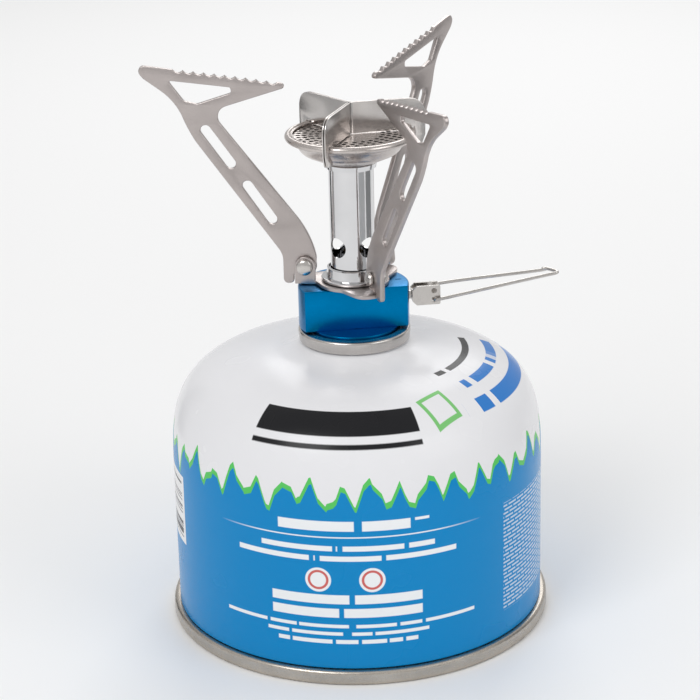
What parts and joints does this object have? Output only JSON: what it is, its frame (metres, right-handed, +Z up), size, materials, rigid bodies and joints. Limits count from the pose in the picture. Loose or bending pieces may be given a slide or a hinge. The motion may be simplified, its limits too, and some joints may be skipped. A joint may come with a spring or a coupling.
{
  "type": "camping stove",
  "caption": "Small folding gas burner with three toothed pot supports and a wire valve handle, screwed onto a squat round fuel canister.",
  "frame": {"origin": "on the canister's axis, at the surface that its base seam stands on", "axes": "+Z up the canister's axis, +X towards the valve handle, -Y towards the flat front of the valve body"},
  "size_m": [0.1167, 0.11, 0.1659],
  "materials": {
    "can_paint": "gloss white and blue printed enamel",
    "tin": "satin tinplate",
    "steel": "satin steel",
    "polished": "bright polished steel",
    "titanium": "satin blasted titanium, warm grey",
    "blue_anodised": "satin blue anodising",
    "brass": "machined brass",
    "rubber": "matt black rubber"
  },
  "bodies": {
    "canister": {"canister_shell": "can_paint", "canister_base": "tin", "valve_cup": "steel", "cup_gasket": "rubber", "valve_housing": "brass", "stem_gasket": "rubber", "valve_spring": "steel"},
    "stem": {"valve_stem": "steel"},
    "seal_ring": {"thread_seal": "rubber"},
    "stove": {"valve_body": "blue_anodised", "opener_pin": "brass", "base_plate": "titanium", "tube_collar": "polished", "gas_jet": "brass", "burner_tube": "polished", "tube_ring": "polished", "burner_head": "titanium", "burner_screen": "titanium", "flame_leaf_1": "titanium", "flame_leaf_2": "titanium", "flame_leaf_3": "titanium", "left_rivet": "steel", "front_rivet": "steel", "rear_rivet": "steel", "gland_nut": "brass"},
    "left_arm": {"left_support": "titanium"},
    "front_arm": {"front_support": "titanium"},
    "rear_arm": {"rear_support": "titanium"},
    "spindle_ring": {"spindle_seal": "rubber"},
    "valve": {"spindle": "steel", "handle_bracket": "steel"},
    "handle": {"wire_handle": "steel"}
  },
  "joints": [
    {"name": "stove_lift", "type": "slide", "parent": "canister", "child": "seal_ring", "axis": [0, 0, 1], "range_m": [0, 0.00363]},
    {"name": "stove_turn", "type": "hinge", "parent": "seal_ring", "child": "stove", "pos_m": [0, 0, 0.0865], "axis": [0, 0, 1], "range_deg": [0, 1440]},
    {"name": "stem_rise", "type": "slide", "parent": "canister", "child": "stem", "axis": [0, 0, 1], "range_m": [0, 0.0012], "deforming": ["valve_spring"]},
    {"name": "left_fold", "type": "hinge", "parent": "stove", "child": "left_arm", "pos_m": [-0.01343, 0.00136, 0.1038], "axis": [0.1011, 0.9949, 0], "range_deg": [0, 16]},
    {"name": "front_fold", "type": "hinge", "parent": "stove", "child": "front_arm", "pos_m": [0.00553, -0.01231, 0.1038], "axis": [-0.9121, -0.4099, 0], "range_deg": [0, 17.3]},
    {"name": "rear_fold", "type": "hinge", "parent": "stove", "child": "rear_arm", "pos_m": [0.0079, 0.01095, 0.1038], "axis": [0.8111, -0.585, 0], "range_deg": [-7, 9]},
    {"name": "valve_travel", "type": "slide", "parent": "stove", "child": "spindle_ring", "axis": [0.9903, 0.1392, 0], "range_m": [0, 0.00101]},
    {"name": "valve_turn", "type": "hinge", "parent": "spindle_ring", "child": "valve", "pos_m": [0.01485, 0.00209, 0.094], "axis": [0.9903, 0.1392, 0], "range_deg": [0, 720]},
    {"name": "handle_fold", "type": "hinge", "parent": "valve", "child": "handle", "pos_m": [0.02258, 0.00317, 0.0927], "axis": [0.1392, -0.9903, 0], "range_deg": [0, 90]}
  ],
  "couplings": [
    {"joint": "stove_lift", "follows": "stove_turn", "m_per_rad": 0.00014435},
    {"joint": "stem_rise", "follows": "stove_turn", "m_per_rad": 0.0000477},
    {"joint": "valve_travel", "follows": "valve_turn", "m_per_rad": 0.0000796}
  ]
}
